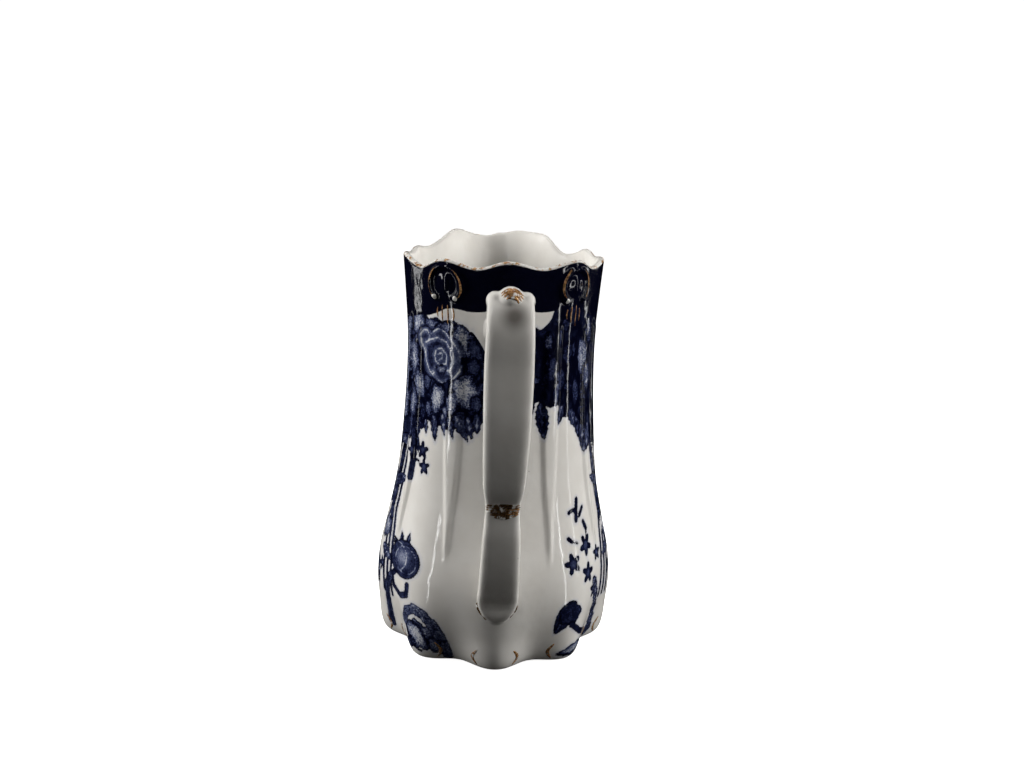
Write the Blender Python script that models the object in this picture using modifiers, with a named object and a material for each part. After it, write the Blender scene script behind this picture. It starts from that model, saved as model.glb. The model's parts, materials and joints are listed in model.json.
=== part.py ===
"""Porcelain cream jug: a slip-cast fluted body with a pouring lip, a press-moulded strap
handle stuck on with slip, and overglaze gilding on the rim, the relief loops, the foot and
the handle.

Frame: +Z up, metres. The foot stands on Z = 0, the handle is on the -Y side and the lip on
the +Y side. Angles round the body are measured from the handle, positive towards +X.
"""

import math

import bmesh
import bpy
import numpy as np
from mathutils import Vector
from mathutils.bvhtree import BVHTree

MM = 0.001

# ---------------------------------------------------------------- driving dimensions (mm)
RIM_HEIGHT = 120.0  # nominal height of the scalloped rim
LIP_REACH = 44.0  # body axis to the tip of the pouring lip
HANDLE_REACH = 61.6  # body axis to the outermost face of the handle
WALL = 2.8  # cast wall thickness
RIM_WALL = 1.9  # the wall thins towards the rim
FOOT_RECESS = 2.4  # depth of the hollow under the base
FOOT_RING_INNER = 27.5  # inside radius of the foot ring
FLOOR_TOP = 6.2  # height of the inside floor
CLEARANCE = 0.3  # gap kept between pieces that touch
SLIP_THICKNESS = 0.9  # slip layer between handle and body

STRAP_WIDTH = 12.4
STRAP_THICKNESS = 5.2
KNUCKLE_HEIGHT = 57.4  # the pinch half way down the handle

GILT_RADIUS = 0.34  # half thickness of a gilded line
COLUMNS = 80  # facets round the body

# Height and radius of the outside of a lobe, foot to rim
SILHOUETTE = (
    (0.0, 34.3), (3.0, 35.6), (11.0, 36.6), (18.5, 37.2), (27.0, 36.6), (38.0, 34.2),
    (52.0, 31.4), (70.0, 29.6), (94.0, 28.75), (110.0, 29.7), (RIM_HEIGHT, 30.5),
)  # fmt: skip
# Height and depth of the valleys between lobes
LOBE_DEPTH = (
    (0.0, 4.3), (5.0, 3.6), (12.0, 2.2), (22.0, 1.1), (40.0, 0.6), (95.0, 0.5),
    (RIM_HEIGHT, 1.0),
)  # fmt: skip
# The lobes bunch a little towards the lip: where they are, and where eight even ones would be
LOBE_ANGLES = (0.0, 41.0, 81.0, 120.0, 180.0)
EVEN_ANGLES = (0.0, 45.0, 90.0, 135.0, 180.0)
# Angle and height of each crest and hollow of the rim, which is cut by hand and a little uneven
RIM_SCALLOPS = (
    (-180.0, 123.5), (-174.5, 122.6), (-153.0, 125.3), (-125.0, 120.3), (-114.0, 120.8),
    (-98.0, 119.6), (-83.0, 120.2), (-56.0, 117.5), (-36.5, 120.3), (-17.0, 118.4),
    (1.0, 120.5), (20.5, 118.8), (41.5, 121.0), (62.0, 118.4), (84.0, 120.4),
    (98.0, 119.9), (115.0, 121.4), (133.0, 119.0), (157.0, 124.4), (170.0, 124.6),
    (180.0, 123.5),
)  # fmt: skip

AXIS_Y = (HANDLE_REACH - LIP_REACH) / 2  # centres the whole jug on the origin

LIP_HALF_ANGLE = 52.0
LIP_SHARPNESS = 3.0
LIP_START_HEIGHT = 70.0
LIP_RISE_POWER = 1.6

CORNER_ANGLES = (-117.0, -35.5, 42.5, 117.0)  # relief loops, one at each corner of the body
FOOT_BRACKETS = (
    (0.0, 9.0), (45.0, 15.0), (83.0, 9.0), (120.0, 11.0), (180.0, 11.0), (-120.0, 11.0),
    (-83.0, 9.0), (-45.0, 15.0),
)  # fmt: skip

# Handle centre line: reach from the body axis, height, size beside the full strap
HANDLE_PATH = (
    (24.0, 100.0, 1.12), (33.0, 103.5, 1.02), (41.5, 107.6, 0.97), (49.0, 110.2, 0.97),
    (55.2, 110.2, 0.98), (58.4, 106.2, 1.0), (58.9, 97.0, 1.02), (58.6, 84.0, 1.0),
    (56.2, 71.0, 0.97), (52.2, 61.5, 0.90), (50.0, 57.6, 0.76), (49.6, 54.5, 0.80),
    (48.6, 46.0, 0.84), (44.6, 34.5, 0.89), (40.2, 27.0, 0.93), (36.0, 21.0, 0.97),
    (31.0, 16.0, 1.08),
)  # fmt: skip


# ---------------------------------------------------------------- small helpers
def smooth(low, high, value):
    """0 below low, 1 above high, and an even S between them."""
    share = np.clip((value - low) / (high - low), 0.0, 1.0)
    return share * share * (3 - 2 * share)


def through(knots, value):
    """A smooth curve through (place, height) knots: cubic pieces with averaged slopes."""
    places = np.array([k[0] for k in knots])
    heights = np.array([k[1] for k in knots])
    value = np.clip(value, places[0], places[-1])
    steps = np.diff(heights) / np.diff(places)
    slopes = np.concatenate([[steps[0]], (steps[1:] + steps[:-1]) / 2, [steps[-1]]])
    i = np.clip(np.searchsorted(places, value, side="right") - 1, 0, len(steps) - 1)
    width = places[i + 1] - places[i]
    t = (value - places[i]) / width
    return (
        heights[i] * (1 + 2 * t) * (1 - t) ** 2
        + heights[i + 1] * t * t * (3 - 2 * t)
        + width * t * (1 - t) * (slopes[i] * (1 - t) - slopes[i + 1] * t)
    )


def scalloped(angle):
    """Rim height at an angle: half a cosine wave from each crest to the next hollow."""
    places = np.array([k[0] for k in RIM_SCALLOPS])
    heights = np.array([k[1] for k in RIM_SCALLOPS])
    angle = (angle + 180.0) % 360.0 - 180.0
    i = np.clip(np.searchsorted(places, angle, side="right") - 1, 0, len(places) - 2)
    t = (angle - places[i]) / (places[i + 1] - places[i])
    return heights[i] + (heights[i + 1] - heights[i]) * (1 - np.cos(math.pi * t)) / 2


def shaped(radius, height, angle):
    """Where a point of the plain turned jug goes: lobes, lip and scalloped rim added."""
    even = np.interp(abs(angle), LOBE_ANGLES, EVEN_ANGLES)
    valley = (1 - math.cos(math.radians(8 * even))) / 2
    radius -= through(LOBE_DEPTH, height) * valley
    from_lip = (180.0 - abs(angle)) / LIP_HALF_ANGLE
    if from_lip < 1:
        spread = math.cos(math.pi / 2 * from_lip) ** LIP_SHARPNESS
        rise = max(0.0, (height - LIP_START_HEIGHT) / (RIM_HEIGHT - LIP_START_HEIGHT))
        silhouette_rim = SILHOUETTE[-1][1]
        radius += (LIP_REACH - silhouette_rim) * spread * rise**LIP_RISE_POWER
    lift = (scalloped(angle) - RIM_HEIGHT) * smooth(86.0, 118.0, height)
    return radius, height + lift


def on_body(angle, height, outwards=0.0):
    """A point on the outside of the body, in metres from the body axis, pushed outwards."""
    radius, lifted = shaped(float(through(SILHOUETTE, height)) + outwards, height, angle)
    turn = math.radians(angle)
    return Vector((radius * math.sin(turn), -radius * math.cos(turn), lifted)) * MM


def material(name, colour, roughness, metallic=0.0):
    made = bpy.data.materials.new(name)
    made.use_nodes = True
    shader = made.node_tree.nodes["Principled BSDF"]
    shader.inputs["Base Color"].default_value = (*colour, 1.0)
    shader.inputs["Roughness"].default_value = roughness
    shader.inputs["Metallic"].default_value = metallic
    return made


def collection(name):
    made = bpy.data.collections.new(name)
    bpy.context.scene.collection.children.link(made)
    return made


def place(obj, group, parent, surface=None):
    """Puts an object in its collection and on the body axis, with its material."""
    group.objects.link(obj)
    obj.parent = parent
    if surface:
        obj.data.materials.clear()
        obj.data.materials.append(surface)
    return obj


def as_cutter(obj):
    obj.hide_render = True
    obj.display_type = "WIRE"
    return obj


def evaluated_mesh(obj, name):
    """The object's mesh with its modifiers or curve settings applied, and its caps welded."""
    bpy.context.view_layer.update()
    graph = bpy.context.evaluated_depsgraph_get()
    mesh = bpy.data.meshes.new_from_object(obj.evaluated_get(graph))
    mesh.name = name
    joined = bmesh.new()
    joined.from_mesh(mesh)
    bmesh.ops.remove_doubles(joined, verts=joined.verts, dist=1e-6)
    bmesh.ops.recalc_face_normals(joined, faces=joined.faces)
    joined.to_mesh(mesh)
    joined.free()
    return mesh


def shade(obj, sharp_degrees=40.0):
    obj.data.shade_smooth()
    obj.data.set_sharp_from_angle(angle=math.radians(sharp_degrees))


def boolean(obj, operation, other):
    cut = obj.modifiers.new(operation.title(), "BOOLEAN")
    cut.operation = operation
    cut.object = other
    cut.solver = "EXACT"


# ---------------------------------------------------------------- body
def turned(name, profile, group, parent):
    """The profile turned round Z with a Screw modifier, then given its lobes and lip."""
    line = bpy.data.meshes.new(name + "_profile")
    points = [(radius * MM, 0.0, height * MM) for radius, height in profile]
    line.from_pydata(points, [(i, i + 1) for i in range(len(points) - 1)], [])
    plain = bpy.data.objects.new(name + "_profile", line)
    group.objects.link(plain)
    screw = plain.modifiers.new("Turn", "SCREW")
    screw.steps = screw.render_steps = COLUMNS
    screw.use_merge_vertices = True
    screw.merge_threshold = 1e-5
    mesh = evaluated_mesh(plain, name)
    bpy.data.objects.remove(plain)
    for vertex in mesh.vertices:
        x, y, height = vertex.co / MM
        angle = math.degrees(math.atan2(x, -y))
        radius, lifted = shaped(math.hypot(x, y), height, angle)
        if math.hypot(x, y) < FOOT_RING_INNER + 0.01 and height < FLOOR_TOP + 0.01:
            continue  # the floor and the hollow under it stay plain and round
        turn = math.radians(angle)
        vertex.co = Vector((radius * math.sin(turn), -radius * math.cos(turn), lifted)) * MM
    return place(bpy.data.objects.new(name, mesh), group, parent)


def body_profile():
    """Floor centre, up the inside, over the rim, down the outside and under the foot."""
    inside = [(0.0, FLOOR_TOP), (14.0, FLOOR_TOP), (26.0, FLOOR_TOP)]
    inside += [(29.6, FLOOR_TOP + 1.2), (32.0, FLOOR_TOP + 5.0)]
    for height in (18.5, 27.0, 36.0, 46.0, 58.0, 72.0, 88.0, 102.0, 112.0, 117.5):
        wall = WALL + (RIM_WALL - WALL) * smooth(90.0, 118.0, height)
        inside.append((float(through(SILHOUETTE, height)) - wall, height))
    rim = SILHOUETTE[-1][1]
    edge = [(rim - 0.72 * RIM_WALL, RIM_HEIGHT - 0.4), (rim - 0.38 * RIM_WALL, RIM_HEIGHT)]
    edge += [(rim - 0.08 * RIM_WALL, RIM_HEIGHT - 0.5)]
    outside = []
    for height in (117.0, 112.0, 105.0, 97.0, 88.0, 78.0, 68.0, 58.0, 49.0, 41.0, 34.0, 28.0):
        outside.append((float(through(SILHOUETTE, height)), height))
    for height in (23.0, 18.0, 13.0, 8.5, 5.0, 2.6, 1.0):
        outside.append((float(through(SILHOUETTE, height)), height))
    foot = [(SILHOUETTE[0][1] - 0.8, 0.0), (FOOT_RING_INNER, 0.0)]
    hollow = [(FOOT_RING_INNER - 1.0, FOOT_RECESS - 0.4), (25.0, FOOT_RECESS)]
    hollow += [(12.0, FOOT_RECESS), (0.0, FOOT_RECESS)]
    return inside + edge + outside + foot + hollow


def envelope(name, outwards, group, parent):
    """A solid stand-in for the body, this much bigger all round, for cutting against."""
    heights = (116.0, 108.0, 100.0, 92.0, 82.0, 70.0, 58.0, 48.0, 40.0, 33.0, 27.0, 21.0, 14.0, 7.0)
    sides = [(float(through(SILHOUETTE, h)) + outwards, h) for h in heights]
    profile = [(0.0, heights[0]), *sides, (0.0, heights[-1])]
    return as_cutter(turned(name, profile, group, parent))


# ---------------------------------------------------------------- handle
def strap_section(group):
    """The strap's cross section: a flattened round, as a closed curve."""
    curve = bpy.data.curves.new("strap_section", "CURVE")
    curve.dimensions = "2D"
    corners = 16
    line = curve.splines.new("POLY")
    line.points.add(corners - 1)
    line.use_cyclic_u = True
    for i in range(corners):
        turn = 2 * math.pi * (i + 0.5) / corners
        flat = 0.62  # below 1 squares the round off
        across = math.copysign(abs(math.cos(turn)) ** flat, math.cos(turn))
        through_strap = math.copysign(abs(math.sin(turn)) ** flat, math.sin(turn))
        x = across * STRAP_WIDTH / 2 * MM
        y = through_strap * STRAP_THICKNESS / 2 * MM
        line.points[i].co = (x, y, 0.0, 1.0)
    section = bpy.data.objects.new("strap_section", curve)
    group.objects.link(section)
    return as_cutter(section)


def sweep(name, path, section, group, parent):
    """The section swept along (reach, height, size) points in the YZ plane, as a mesh."""
    curve = bpy.data.curves.new(name + "_path", "CURVE")
    curve.dimensions = "3D"
    curve.twist_mode = "MINIMUM"
    curve.bevel_mode = "OBJECT"
    curve.bevel_object = section
    curve.use_fill_caps = True
    curve.resolution_u = 2
    line = curve.splines.new("BEZIER")
    line.bezier_points.add(len(path) - 1)
    for point, (reach, height, size) in zip(line.bezier_points, path):
        point.co = (0.0, -reach * MM, height * MM)
        point.handle_left_type = point.handle_right_type = "AUTO"
        point.radius = size
    guide = bpy.data.objects.new(name + "_path", curve)
    group.objects.link(guide)
    mesh = evaluated_mesh(guide, name)
    made = bpy.data.objects.new(name, mesh)
    made.matrix_world = guide.matrix_world
    bpy.data.objects.remove(guide)
    return place(made, group, parent)


def lump(name, centre, radii, group, parent):
    """A rounded lump of clay, as a cutter that is joined to another piece."""
    ball = bmesh.new()
    bmesh.ops.create_uvsphere(ball, u_segments=16, v_segments=8, radius=1.0)
    for vertex in ball.verts:
        vertex.co = Vector([c + v * r for c, v, r in zip(centre, vertex.co, radii)]) * MM
    mesh = bpy.data.meshes.new(name)
    ball.to_mesh(mesh)
    ball.free()
    return as_cutter(place(bpy.data.objects.new(name, mesh), group, parent))


def make_handle(parts, cutters, parent, clay):
    """One pressing: strap, knuckle and three-lobed thumb rest, trimmed to meet the slip."""
    section = strap_section(cutters)
    handle = sweep("handle", HANDLE_PATH, section, parts, parent)
    handle.data.materials.append(clay)
    rest_y, rest_z = -54.8, 112.4
    for name, x, height, radii in (
        ("thumb_rest_middle", 0.0, rest_z + 0.4, (3.6, 4.6, 3.8)),
        ("thumb_rest_left", -4.1, rest_z - 0.3, (2.3, 3.5, 2.5)),
        ("thumb_rest_right", 4.1, rest_z - 0.3, (2.3, 3.5, 2.5)),
    ):
        boolean(handle, "UNION", lump(name, (x, rest_y, height), radii, cutters, parent))
    trim = envelope("handle_trim", 2 * CLEARANCE + SLIP_THICKNESS, cutters, parent)
    boolean(handle, "DIFFERENCE", trim)
    shade(handle)
    return handle


def make_slip_joint(name, path, parts, cutters, parent, clay):
    """The layer of slip under one end of the handle: a plug cut to a curved wafer."""
    section = bpy.data.objects["strap_section"]
    joint = sweep(name, path, section, parts, parent)
    joint.data.materials.append(clay)
    boolean(joint, "INTERSECT", bpy.data.objects["slip_outside"])
    boolean(joint, "DIFFERENCE", bpy.data.objects["slip_inside"])
    shade(joint)
    return joint


# ---------------------------------------------------------------- gilding
def gilt_line(name, points, group, parent, gold, sizes=None, closed=False):
    """A raised line of gold: a thin curve with a round bevel, tapered by its sizes."""
    curve = bpy.data.curves.new(name, "CURVE")
    curve.dimensions = "3D"
    curve.bevel_depth = GILT_RADIUS * MM
    curve.bevel_resolution = 1
    curve.use_fill_caps = True
    line = curve.splines.new("POLY")
    line.points.add(len(points) - 1)
    line.use_cyclic_u = closed
    for i, (point, co) in enumerate(zip(line.points, points)):
        point.co = (*co, 1.0)
        point.radius = sizes[i] if sizes else 1.0
    return place(bpy.data.objects.new(name, curve), group, parent, gold)


def tapered(count):
    """Full in the middle of a stroke, thin at both ends."""
    return [0.45 + 0.75 * math.sin(math.pi * i / (count - 1)) for i in range(count)]


def gild_rim(group, parent, gold):
    """One closed line round the crest of the rim."""
    above = CLEARANCE + GILT_RADIUS
    points = []
    for i in range(COLUMNS):
        angle = -180 + 360 * i / COLUMNS
        point = on_body(angle, RIM_HEIGHT, -0.38 * RIM_WALL)
        points.append(point + Vector((0, 0, above * MM)))
    return gilt_line("gilded_rim_line", points, group, parent, gold, closed=True)


def gild_loop(name, corner, group, parent, gold):
    """The horseshoe of a relief loop, open at the bottom."""
    count = 17
    half_width, half_height, centre_height = 5.3, 5.1, 112.6
    mm_per_degree = math.radians(30.0)
    points = []
    for i in range(count):
        turn = math.radians(-140 + 280 * i / (count - 1))
        squeeze = 1.0 if math.cos(turn) > 0 else 0.86
        angle = corner + half_width * squeeze * math.sin(turn) / mm_per_degree
        height = centre_height + half_height * math.cos(turn)
        points.append(on_body(angle, height, CLEARANCE + 1.7 * GILT_RADIUS))
    return gilt_line(name, points, group, parent, gold, tapered(count))


def gild_fringe(name, corner, group, parent, gold):
    """A zigzag of gold strokes hanging under a relief loop."""
    mm_per_degree = math.radians(30.0)
    top_height, stroke_mm, spread_mm = 106.0, 4.2, 1.25
    points = []
    for i in range(7):
        across = (i - 3) * spread_mm
        height = top_height - (stroke_mm if i % 2 else 0.0)
        points.append(on_body(corner + across / mm_per_degree, height, CLEARANCE + 2 * GILT_RADIUS))
    return gilt_line(name, points, group, parent, gold, tapered(7))


def gild_foot(group, parent, gold):
    """A pair of bracket strokes on every lobe of the foot, left and right of its crest."""
    for number, (lobe, half_width) in enumerate(FOOT_BRACKETS, start=1):
        for side, label in ((-1, "left"), (1, "right")):
            points = []
            for i in range(7):
                bend = math.sin(math.pi * i / 6)
                angle = lobe + side * (half_width + 2.4 * bend)
                height = 1.4 + 5.2 * i / 6
                points.append(on_body(angle, height, CLEARANCE + 1.6 * GILT_RADIUS))
            name = f"gilded_foot_scroll_{number}_{label}"
            gilt_line(name, points, group, parent, gold, tapered(7))


def laid_on(surface, start, towards, clear):
    """Where a line of sight meets the surface, lifted clear of it."""
    found, normal, _, _ = surface.ray_cast(start * MM, towards.normalized())
    return found + normal * clear * MM


def gild_handle(handle, group, parent, gold):
    """Gold on the crest of the thumb rest, in the knuckle and round the lower end."""
    bpy.context.view_layer.update()
    surface = BVHTree.FromObject(handle, bpy.context.evaluated_depsgraph_get())
    clear = CLEARANCE + 1.25 * GILT_RADIUS

    arch = []
    for i in range(11):
        sight = Vector((-3.4 + 6.8 * i / 10, -56.6, 140.0))
        arch.append(laid_on(surface, sight, Vector((0, 0.04, -1)), clear))
    gilt_line("gilded_thumb_rest", arch, group, parent, gold, tapered(11))

    band = []
    for i in range(13):
        turn = math.radians(-64 + 128 * i / 12)
        outwards = Vector((math.sin(turn), -math.cos(turn), 0.0))
        centre = Vector((0.0, -48.5, KNUCKLE_HEIGHT))
        band.append(laid_on(surface, centre + outwards * 30, -outwards, clear))
    gilt_line("gilded_knuckle", band, group, parent, gold, tapered(13))

    for side, label in ((-1, "left"), (1, "right")):
        edge = []
        for i in range(9):
            share = i / 8
            angle = side * (13.6 - 4.5 * share * share)
            edge.append(on_body(angle, 27.5 - 9.5 * share, CLEARANCE + GILT_RADIUS + 0.15))
        gilt_line(f"gilded_handle_end_{label}", edge, group, parent, gold, tapered(9))


# ---------------------------------------------------------------- assembly
def main():
    for obj in list(bpy.data.objects):
        bpy.data.objects.remove(obj)
    parts = collection("cream_jug")
    cutters = collection("cutters")
    axis = bpy.data.objects.new("jug_axis", None)
    axis.location = (0.0, AXIS_Y * MM, 0.0)
    parts.objects.link(axis)

    porcelain = material("glazed_porcelain", (0.86, 0.86, 0.84), 0.08)
    slip = material("glazed_slip", (0.80, 0.80, 0.78), 0.15)
    gold = material("overglaze_gold", (0.78, 0.50, 0.26), 0.25, metallic=1.0)

    body = turned("jug_body", body_profile(), parts, axis)
    body.data.materials.append(porcelain)
    shade(body)

    handle = make_handle(parts, cutters, axis, porcelain)
    envelope("slip_outside", CLEARANCE + SLIP_THICKNESS, cutters, axis)
    envelope("slip_inside", CLEARANCE, cutters, axis)
    upper = [(reach, height, size * 1.12) for reach, height, size in HANDLE_PATH[:3]]
    lower = [(reach, height, size * 1.12) for reach, height, size in HANDLE_PATH[-3:]]
    make_slip_joint("slip_joint_upper", upper, parts, cutters, axis, slip)
    make_slip_joint("slip_joint_lower", lower, parts, cutters, axis, slip)

    gild_rim(parts, axis, gold)
    for number, corner in enumerate(CORNER_ANGLES, start=1):
        gild_loop(f"gilded_loop_{number}", corner, parts, axis, gold)
        gild_fringe(f"gilded_fringe_{number}", corner, parts, axis, gold)
    gild_foot(parts, axis, gold)
    gild_handle(handle, parts, axis, gold)


main()
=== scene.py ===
import json
import math

import bmesh
import bpy
import numpy as np
from mathutils import Matrix, Vector
from mathutils.bvhtree import BVHTree


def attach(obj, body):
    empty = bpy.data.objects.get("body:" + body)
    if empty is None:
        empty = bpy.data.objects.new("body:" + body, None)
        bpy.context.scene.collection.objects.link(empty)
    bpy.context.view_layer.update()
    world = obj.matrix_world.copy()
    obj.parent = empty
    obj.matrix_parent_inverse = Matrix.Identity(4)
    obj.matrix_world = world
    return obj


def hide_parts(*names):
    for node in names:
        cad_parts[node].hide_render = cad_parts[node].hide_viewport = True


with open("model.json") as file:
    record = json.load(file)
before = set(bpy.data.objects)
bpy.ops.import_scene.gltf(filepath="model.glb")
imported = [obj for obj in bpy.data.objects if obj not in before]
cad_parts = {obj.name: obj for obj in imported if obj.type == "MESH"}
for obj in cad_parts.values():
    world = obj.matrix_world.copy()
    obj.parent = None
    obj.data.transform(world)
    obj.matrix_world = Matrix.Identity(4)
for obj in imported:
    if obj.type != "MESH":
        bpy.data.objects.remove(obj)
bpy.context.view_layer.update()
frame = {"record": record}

MM = 0.001

# ---- places taken from the frame
MOUNT_REACH = 30.3  # mm from the body axis to the resting point on the foot ring
FOOT_MOUNT = frame["record"]["mounts"][0]["pos_m"]
AXIS_Y = FOOT_MOUNT[1] / MM + MOUNT_REACH

# ---- the body's shape (mm, degrees)
# Angles run round the body from the handle, positive towards +X.
RIM_HEIGHT = 120.0
LIP_REACH = 44.0
WALL, RIM_WALL = 2.8, 1.9
WALL_THINS = (90.0, 118.0)  # heights between which the wall thins to the rim's
FLOOR_TOP, FLOOR_CORNER, FLOOR_REACH = 6.2, 13.0, 25.0
FOOT_RING_INNER = 27.5
FOOT_RECESS = 2.4
FOOT_EDGE = 1.4  # rounding of the foot's outer edge

SILHOUETTE = (
    (0, 34.3), (3, 35.6), (11, 36.6), (18.5, 37.2), (27, 36.6), (38, 34.2), (52, 31.4), (70, 29.6),
    (94, 28.75), (110, 29.7), (RIM_HEIGHT, 30.5),
)
LOBE_DEPTH = ((0, 4.3), (5, 3.6), (12, 2.2), (22, 1.1), (40, 0.6), (95, 0.5), (RIM_HEIGHT, 1.0))
LOBE_ANGLES = (0.0, 41.0, 81.0, 120.0, 180.0)
EVEN_ANGLES = (0.0, 45.0, 90.0, 135.0, 180.0)
RIM_SCALLOPS = (
    (-180, 123.5), (-174.5, 122.6), (-153, 125.3), (-125, 120.3), (-114, 120.8), (-98, 119.6),
    (-83, 120.2), (-56, 117.5), (-36.5, 120.3), (-17, 118.4), (1, 120.5), (20.5, 118.8),
    (41.5, 121.0), (62, 118.4), (84, 120.4), (98, 119.9), (115, 121.4), (133, 119.0),
    (157, 124.4), (170, 124.6), (180, 123.5),
)
SCALLOPS_FADE = (86.0, 118.0)  # heights between which the rim's waves come in
LIP_HALF_ANGLE = 52.0
LIP_SHARPNESS = 3.0
LIP_START_HEIGHT = 70.0
LIP_RISE_POWER = 1.6

# Pleats pressed up between the lobes: angle at the neck, angle where it dies out, half width
PLEATS = ((29.5, 26.0, 4.6), (60.0, 62.0, 4.0), (72.0, 74.0, 2.2), (101.0, 101.0, 4.4), (140.0, 146.0, 4.6))
PLEAT_RISE, PLEAT_CREASE = 0.75, 1.0
PLEAT_TOP, PLEAT_FOOT = 104.0, 31.0

CORNERS = (-117.0, -35.5, 42.5, 117.0)  # a relief loop hangs under the rim at each
LOOP_HEIGHT, LOOP_RADIUS = 113.2, 5.1
LOOP_OPENING = 42.0  # degrees left open on each side of straight down
LOOP_HALF_WIDTH, LOOP_RISE = 1.15, 0.85
BEAD_RADIUS, BEAD_RISE = 1.15, 0.55
SHELL_RADIUS, SHELL_RISE, RIB_RISE = 3.6, 0.25, 0.3  # the shell inside each loop

COLUMNS = 352
MM_PER_DEGREE = math.radians(1) * 30.0  # along the surface, at the neck


# ---- shape helpers
def smooth(low, high, value):
    """0 below low, 1 above high, and an even S between them."""
    share = np.clip((value - low) / (high - low), 0.0, 1.0)
    return share * share * (3 - 2 * share)


def through(knots, value):
    """A smooth curve through (place, height) knots: cubic pieces with averaged slopes."""
    places = np.array([k[0] for k in knots])
    heights = np.array([k[1] for k in knots])
    value = np.clip(value, places[0], places[-1])
    steps = np.diff(heights) / np.diff(places)
    slopes = np.concatenate([[steps[0]], (steps[1:] + steps[:-1]) / 2, [steps[-1]]])
    i = np.clip(np.searchsorted(places, value, side="right") - 1, 0, len(steps) - 1)
    width = places[i + 1] - places[i]
    t = (value - places[i]) / width
    return (
        heights[i] * (1 + 2 * t) * (1 - t) ** 2
        + heights[i + 1] * t * t * (3 - 2 * t)
        + width * t * (1 - t) * (slopes[i] * (1 - t) - slopes[i + 1] * t)
    )


def wrapped(degrees):
    """The same angle, between -180 and 180."""
    return (np.asarray(degrees) + 180.0) % 360.0 - 180.0


def scalloped(angle):
    """Rim height: half a cosine wave from each crest to the next hollow."""
    places = np.array([k[0] for k in RIM_SCALLOPS])
    heights = np.array([k[1] for k in RIM_SCALLOPS])
    angle = wrapped(angle)
    i = np.clip(np.searchsorted(places, angle, side="right") - 1, 0, len(places) - 2)
    t = (angle - places[i]) / (places[i + 1] - places[i])
    return heights[i] + (heights[i + 1] - heights[i]) * (1 - np.cos(np.pi * t)) / 2


def loop_distance(across, up):
    """Distance in mm to the centre line of a relief loop, and to its two end beads."""
    turn = np.degrees(np.arctan2(across, -up))  # 0 straight down, 180 straight up
    end = math.radians(LOOP_OPENING)
    bead_x, bead_z = LOOP_RADIUS * math.sin(end), -LOOP_RADIUS * math.cos(end)
    to_bead = np.hypot(np.abs(across) - bead_x, up - bead_z)
    on_ring = np.abs(np.hypot(across, up) - LOOP_RADIUS)
    return np.where(np.abs(turn) > LOOP_OPENING, on_ring, to_bead), to_bead


def relief(angle, height):
    """How far the moulded detail stands out of the lobed wall, in mm."""
    rise = np.zeros(np.broadcast(angle, height).shape)
    along = np.clip((PLEAT_TOP - height) / (PLEAT_TOP - PLEAT_FOOT), 0.0, 1.0)
    fades = smooth(PLEAT_TOP, PLEAT_TOP - 5, height) * smooth(PLEAT_FOOT, PLEAT_FOOT + 8, height)
    for neck_angle, foot_angle, half_width in PLEATS:
        centre = neck_angle + (foot_angle - neck_angle) * along**2
        narrow = half_width * (1 - 0.85 * smooth(0.45, 1.0, along))
        off = np.abs(np.abs(angle) - centre)
        rise += PLEAT_RISE * fades * smooth(narrow + PLEAT_CREASE, narrow - PLEAT_CREASE, off)
    for corner in CORNERS:
        across, up = wrapped(angle - corner) * MM_PER_DEGREE, height - LOOP_HEIGHT
        ring, bead = loop_distance(across, up)
        rise += LOOP_RISE * smooth(LOOP_HALF_WIDTH, 0.1, ring)
        rise += BEAD_RISE * smooth(BEAD_RADIUS, 0.2, bead)
        ribs = 0.5 + 0.5 * np.cos(5 * np.arctan2(across, up + 3.0))
        inside = smooth(SHELL_RADIUS, SHELL_RADIUS / 3, np.hypot(across, up))
        rise += (SHELL_RISE + RIB_RISE * ribs) * inside
    return rise


def shaped(radius, height, angle, lobes=1.0, detail=1.0):
    """Cylindrical place of a point of the plain turned jug, with lobes, lip, rim and relief."""
    even = np.interp(np.abs(angle), LOBE_ANGLES, EVEN_ANGLES)
    valley = (1 - np.cos(np.radians(8 * even))) / 2
    radius = radius - lobes * through(LOBE_DEPTH, height) * valley
    from_lip = np.clip((180.0 - np.abs(angle)) / LIP_HALF_ANGLE, 0, 1)
    spread = np.cos(np.pi / 2 * from_lip) ** LIP_SHARPNESS
    rise = np.clip((height - LIP_START_HEIGHT) / (RIM_HEIGHT - LIP_START_HEIGHT), 0, None)
    radius = radius + (LIP_REACH - SILHOUETTE[-1][1]) * spread * rise**LIP_RISE_POWER
    lifted = height + (scalloped(angle) - RIM_HEIGHT) * smooth(*SCALLOPS_FADE, height)
    return radius + detail * relief(angle, lifted), lifted


def to_xyz(radius, height, angle):
    """Cylindrical millimetres to the frame's metres."""
    turn = np.radians(angle)
    x = radius * np.sin(turn)
    y = AXIS_Y - radius * np.cos(turn)
    return np.stack(np.broadcast_arrays(x, y, height), axis=-1) * MM


def wall_radius(height):
    """Outside radius of the plain turned jug at one height."""
    return float(through(SILHOUETTE, height))


def on_body(angle, height, outwards=0.0):
    """Points on the finished outside of the body, pushed outwards by so many mm."""
    angle = wrapped(angle)
    radius, lifted = shaped(through(SILHOUETTE, height), height, angle)
    return to_xyz(radius + outwards, lifted, angle)


def radial(angles):
    """Level unit vectors away from the body's axis."""
    turn = np.radians(angles)
    return np.stack([np.sin(turn), -np.cos(turn), np.zeros_like(turn)], -1)


# ---- mesh helpers
def placed(name, data):
    """A new object of the scene."""
    made = bpy.data.objects.new(name, data)
    bpy.context.scene.collection.objects.link(made)
    return made


def new_object(name, points, faces, material):
    mesh = bpy.data.meshes.new(name)
    mesh.from_pydata([tuple(p) for p in points], [], [tuple(f) for f in faces])
    mesh.update()
    mesh.shade_smooth()
    mesh.materials.append(material)
    return placed(name, mesh)


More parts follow.
